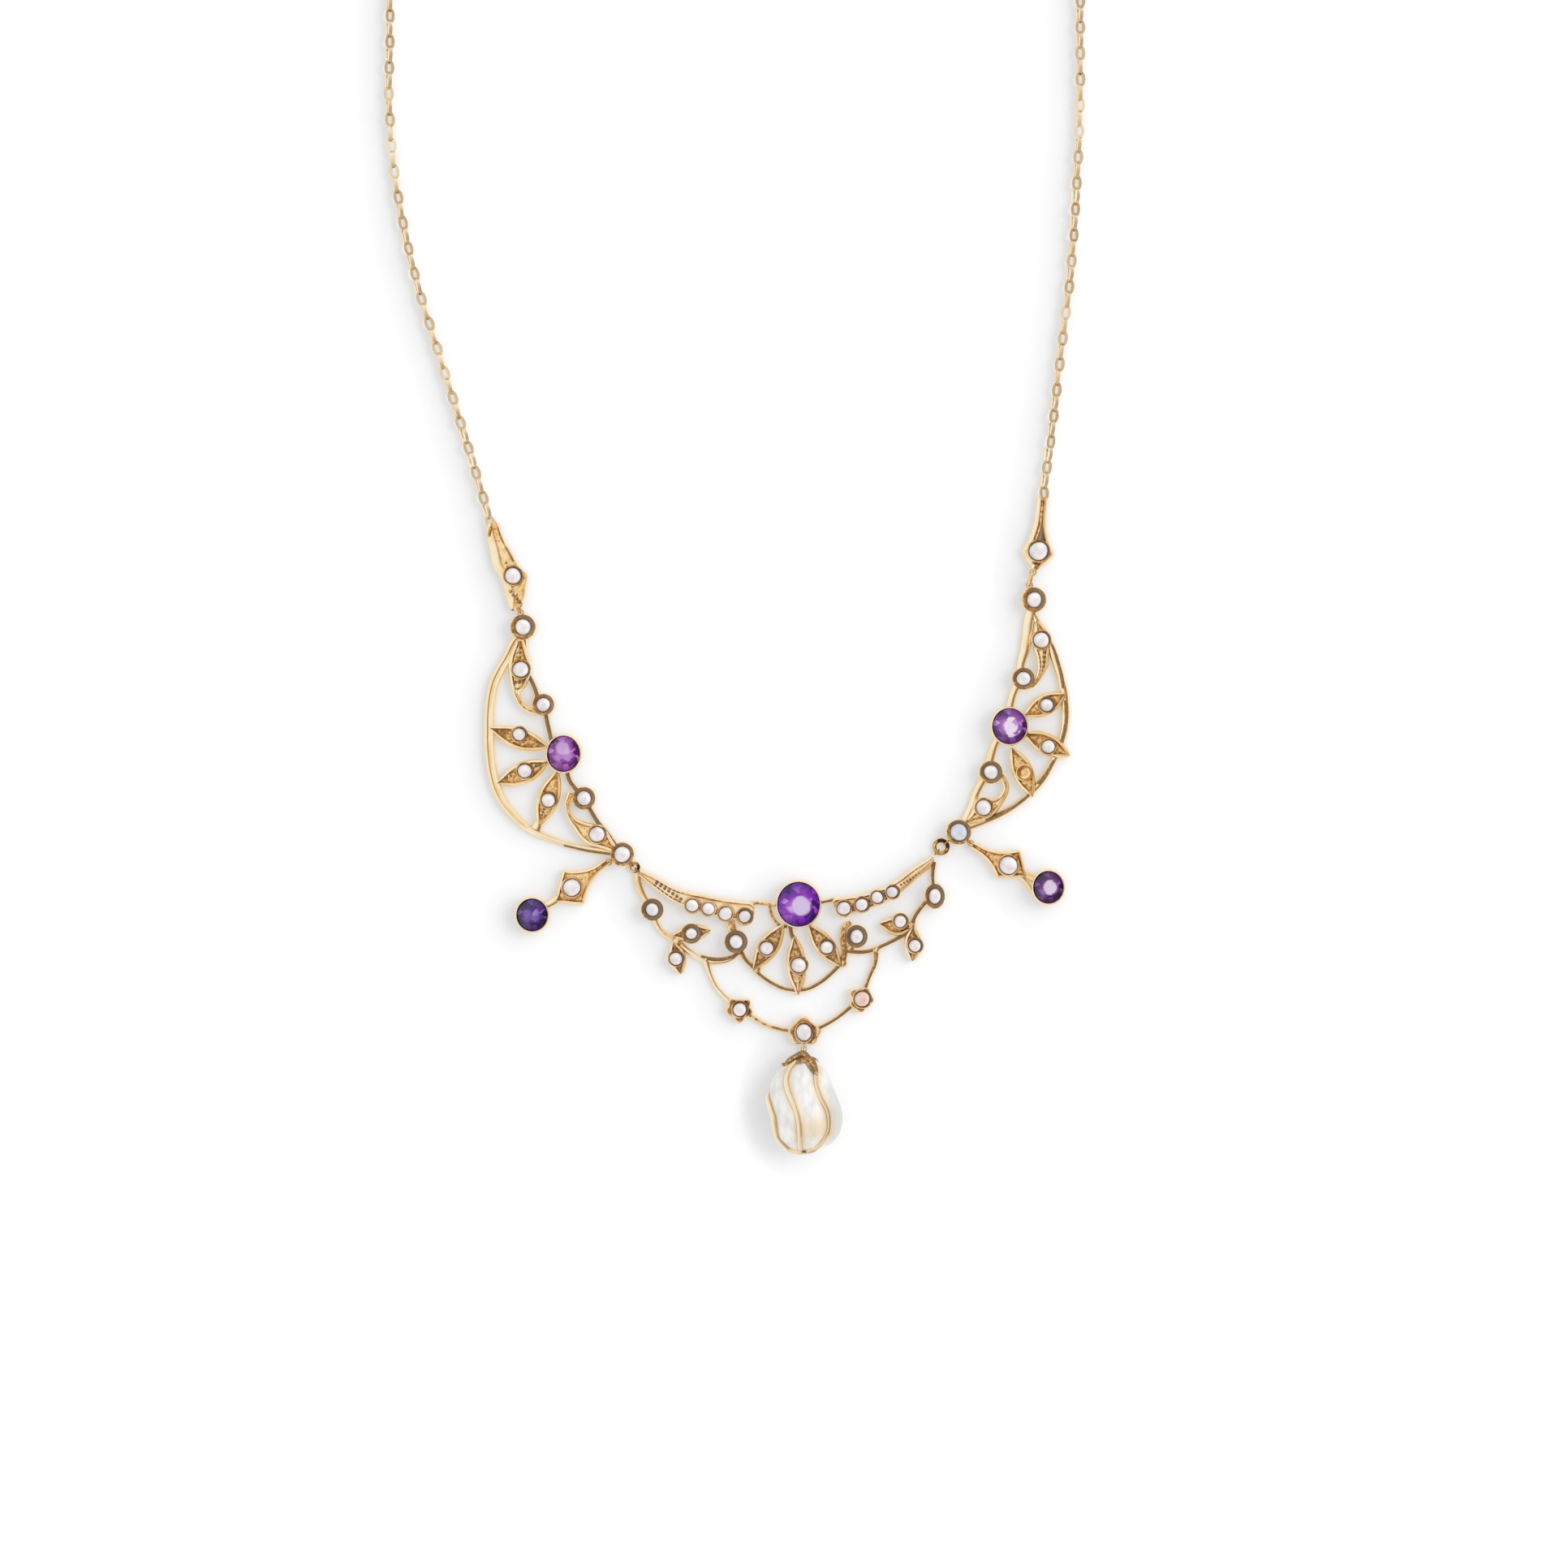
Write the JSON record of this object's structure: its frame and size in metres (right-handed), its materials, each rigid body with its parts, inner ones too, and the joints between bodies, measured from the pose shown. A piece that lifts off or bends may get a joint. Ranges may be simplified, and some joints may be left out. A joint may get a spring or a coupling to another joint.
{
  "type": "drop necklace",
  "caption": "Openwork gold necklace of leafy crescents set with round purple stones and seed pearls, with side drops and an uneven caged drop on a trace chain.",
  "frame": {"origin": "middle of the whole loop, on the plane of the metalwork's backs", "axes": "+Y along the necklace from the drop towards the clasp, +Z out of the front, +X to the viewer's right"},
  "size_m": [0.0866, 0.1968, 0.0073],
  "materials": {
    "gold": "polished yellow gold, browned in its recesses",
    "chain_gold": "polished yellow gold wire",
    "pearl": "soft nacre lustre",
    "amethyst": "faceted and polished",
    "drop": "uneven nacre, glossy"
  },
  "bodies": {
    "root": {"amethyst_centre": "amethyst", "amethyst_left": "amethyst", "amethyst_right": "amethyst", "amethyst_side_left": "amethyst", "amethyst_side_right": "amethyst", "bar_pearls_left": "pearl", "bar_pearls_right": "pearl", "centre_panel": "gold", "centre_pearl_fan_left": "pearl", "centre_pearl_fan_middle": "pearl", "centre_pearl_fan_right": "pearl", "centre_pearl_festoon_left": "pearl", "centre_pearl_festoon_right": "pearl", "centre_pearl_leaf_left": "pearl", "centre_pearl_leaf_right": "pearl", "centre_pearl_scroll_left": "pearl", "centre_pearl_scroll_right": "pearl", "centre_pearl_tail_left": "pearl", "centre_pearl_tail_right": "pearl", "chain_left": "chain_gold", "chain_right": "chain_gold", "clasp": "chain_gold", "crescent_left": "gold", "crescent_right": "gold", "drop_body": "drop", "drop_cage": "gold", "jump_ring_left": "gold", "jump_ring_right": "gold", "left_pearl_junction": "pearl", "left_pearl_leaf_1": "pearl", "left_pearl_leaf_2": "pearl", "left_pearl_leaf_3": "pearl", "left_pearl_lower": "pearl", "left_pearl_lower_comma": "pearl", "left_pearl_top": "pearl", "left_pearl_upper": "pearl", "left_pearl_upper_comma": "pearl", "right_pearl_junction": "pearl", "right_pearl_leaf_1": "pearl", "right_pearl_leaf_2": "pearl", "right_pearl_lower": "pearl", "right_pearl_lower_comma": "pearl", "right_pearl_top": "pearl", "right_pearl_upper": "pearl", "right_pearl_upper_comma": "pearl", "side_drop_left": "gold", "side_drop_right": "gold", "side_pearl_left": "pearl", "side_pearl_right": "pearl", "swag_pearl_left": "pearl", "swag_pearl_middle": "pearl", "swag_pearl_right": "pearl", "terminal_left": "gold", "terminal_link_left": "gold", "terminal_link_right": "gold", "terminal_pearl_left": "pearl", "terminal_pearl_right": "pearl", "terminal_right": "gold"}
  },
  "joints": []
}
